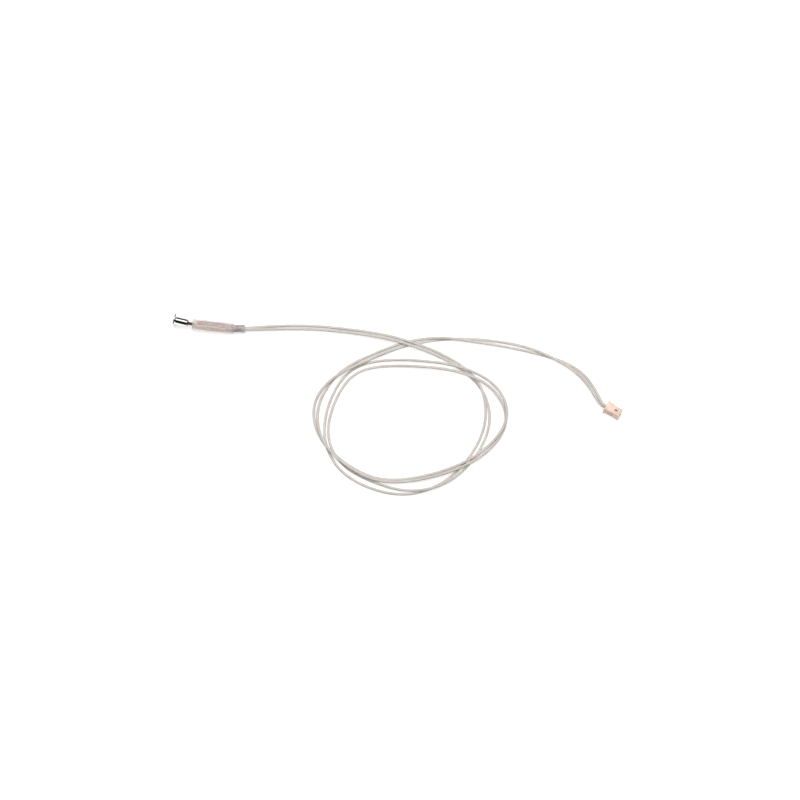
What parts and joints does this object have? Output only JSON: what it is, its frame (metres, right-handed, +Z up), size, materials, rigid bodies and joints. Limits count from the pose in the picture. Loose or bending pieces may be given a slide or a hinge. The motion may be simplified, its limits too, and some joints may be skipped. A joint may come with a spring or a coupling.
{
  "type": "flame sensor probe",
  "caption": "Two-wire sensor probe: flanged metal contact cap over a glass-bead element, translucent sleeve, looped insulated leads and a crimp plug.",
  "frame": {"origin": "centre of the flat sensing face at the tip of the flanged cap", "axes": "+X runs back along the cap's axis towards the sleeve, +Z up; the part lies on a surface at Z = -3.6 mm"},
  "size_m": [0.2108, 0.0847, 0.0072],
  "materials": {
    "cap_metal": "polished nickel plate",
    "potting": "dull filled resin",
    "bead_glass": "clear amber glass",
    "chip_ceramic": "fine sintered ceramic",
    "leg_wire": "drawn tinned wire",
    "leg_tube": "thin amber film tube",
    "neck_tube": "dark shrink tube",
    "outer_sleeve": "milky translucent tube",
    "rear_sleeve": "shrunk, cloudy translucent tube",
    "splice_tin": "crimped tinned ferrule",
    "inner_sleeve_peach": "thin tinted tube",
    "inner_sleeve_mauve": "thin tinted tube",
    "strands": "bare twisted strands of tinned copper",
    "lead_insulation": "smooth translucent fluoropolymer",
    "plug_nylon": "moulded cream nylon",
    "contact_metal": "stamped bronze, dulled with age"
  },
  "bodies": {
    "root": {"sensing_cap": "cap_metal", "potting": "potting", "glass_bead": "bead_glass", "element_chip": "chip_ceramic", "element_leg_a": "leg_wire", "element_leg_b": "leg_wire", "leg_tube_a": "leg_tube", "leg_tube_b": "leg_tube", "neck_tube": "neck_tube", "outer_sleeve": "outer_sleeve", "rear_sleeve": "rear_sleeve", "splice_a": "splice_tin", "splice_b": "splice_tin", "shrink_tube_a": "inner_sleeve_peach", "shrink_tube_b": "inner_sleeve_mauve", "splice_strands_a": "strands", "splice_strands_b": "strands", "lead_a": "lead_insulation", "lead_b": "lead_insulation", "plug_strands_a": "strands", "plug_strands_b": "strands", "plug_housing": "plug_nylon", "contact_a": "contact_metal", "contact_b": "contact_metal"}
  },
  "joints": []
}
